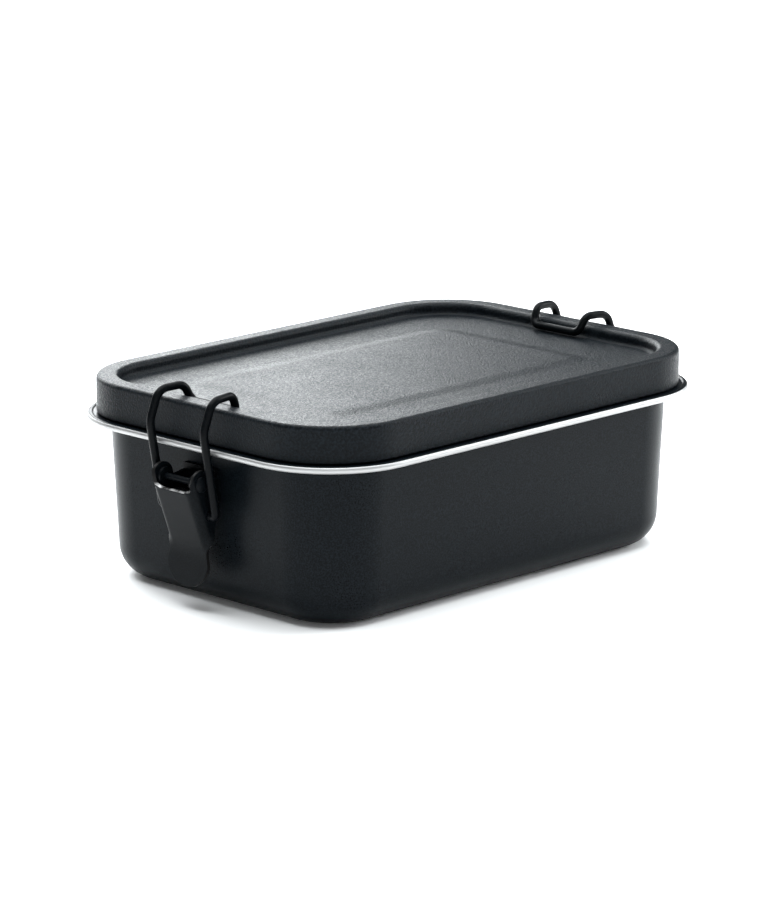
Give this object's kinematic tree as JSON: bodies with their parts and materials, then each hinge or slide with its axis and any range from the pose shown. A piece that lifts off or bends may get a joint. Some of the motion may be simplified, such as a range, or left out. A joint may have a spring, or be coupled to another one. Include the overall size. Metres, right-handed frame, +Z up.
{
  "type": "lunch box",
  "caption": "Rectangular clip-top metal lunch box: rimmed tub, lift-off lid with a recessed top, and a wire-bail lever clip on each short end.",
  "frame": {"origin": "centre of the box's length and width, on the floor under its base", "axes": "+X along the length towards the right clip, +Y across the width, +Z up"},
  "size_m": [0.1802, 0.12, 0.0657],
  "materials": {
    "tub": "matte black powder coat; rolled rim, flange and neck bare bright steel",
    "lid": "fine-textured matte black powder coat",
    "seal": "translucent white silicone",
    "bracket": "satin black",
    "pin": "satin black, riveted heads",
    "lever": "satin black, worn to bright steel along its cut edges",
    "bail": "satin black coated wire"
  },
  "bodies": {
    "tub": {"tub": "tub", "left_bracket": "bracket", "right_bracket": "bracket", "left_pin": "pin", "right_pin": "pin"},
    "lid": {"lid": "lid", "lid_seal": "seal"},
    "left_lever": {"left_lever": "lever"},
    "left_bail": {"left_bail": "bail"},
    "right_lever": {"right_lever": "lever"},
    "right_bail": {"right_bail": "bail"}
  },
  "joints": [
    {"name": "lid_lift", "type": "slide", "parent": "tub", "child": "lid", "axis": [0, 0, 1], "range_m": [0, 0.012]},
    {"name": "left_lever_hinge", "type": "hinge", "parent": "tub", "child": "left_lever", "pos_m": [-0.0862, 0, 0.0397], "axis": [0, 1, 0], "range_deg": [0, 150]},
    {"name": "left_bail_hinge", "type": "hinge", "parent": "tub", "child": "left_bail", "pos_m": [-0.09337, 0, 0.03524], "axis": [0, -1, 0], "range_deg": [0, 120]},
    {"name": "right_lever_hinge", "type": "hinge", "parent": "tub", "child": "right_lever", "pos_m": [0.0862, 0, 0.0397], "axis": [0, -1, 0], "range_deg": [0, 150]},
    {"name": "right_bail_hinge", "type": "hinge", "parent": "tub", "child": "right_bail", "pos_m": [0.09337, 0, 0.03524], "axis": [0, 1, 0], "range_deg": [0, 120]}
  ],
  "couplings": [
    {"joint": "left_lever_hinge", "follows": "lid_lift", "rad_per_m": 218.16},
    {"joint": "left_bail_hinge", "follows": "lid_lift", "rad_per_m": 174.52},
    {"joint": "right_lever_hinge", "follows": "lid_lift", "rad_per_m": 218.16},
    {"joint": "right_bail_hinge", "follows": "lid_lift", "rad_per_m": 174.52}
  ]
}
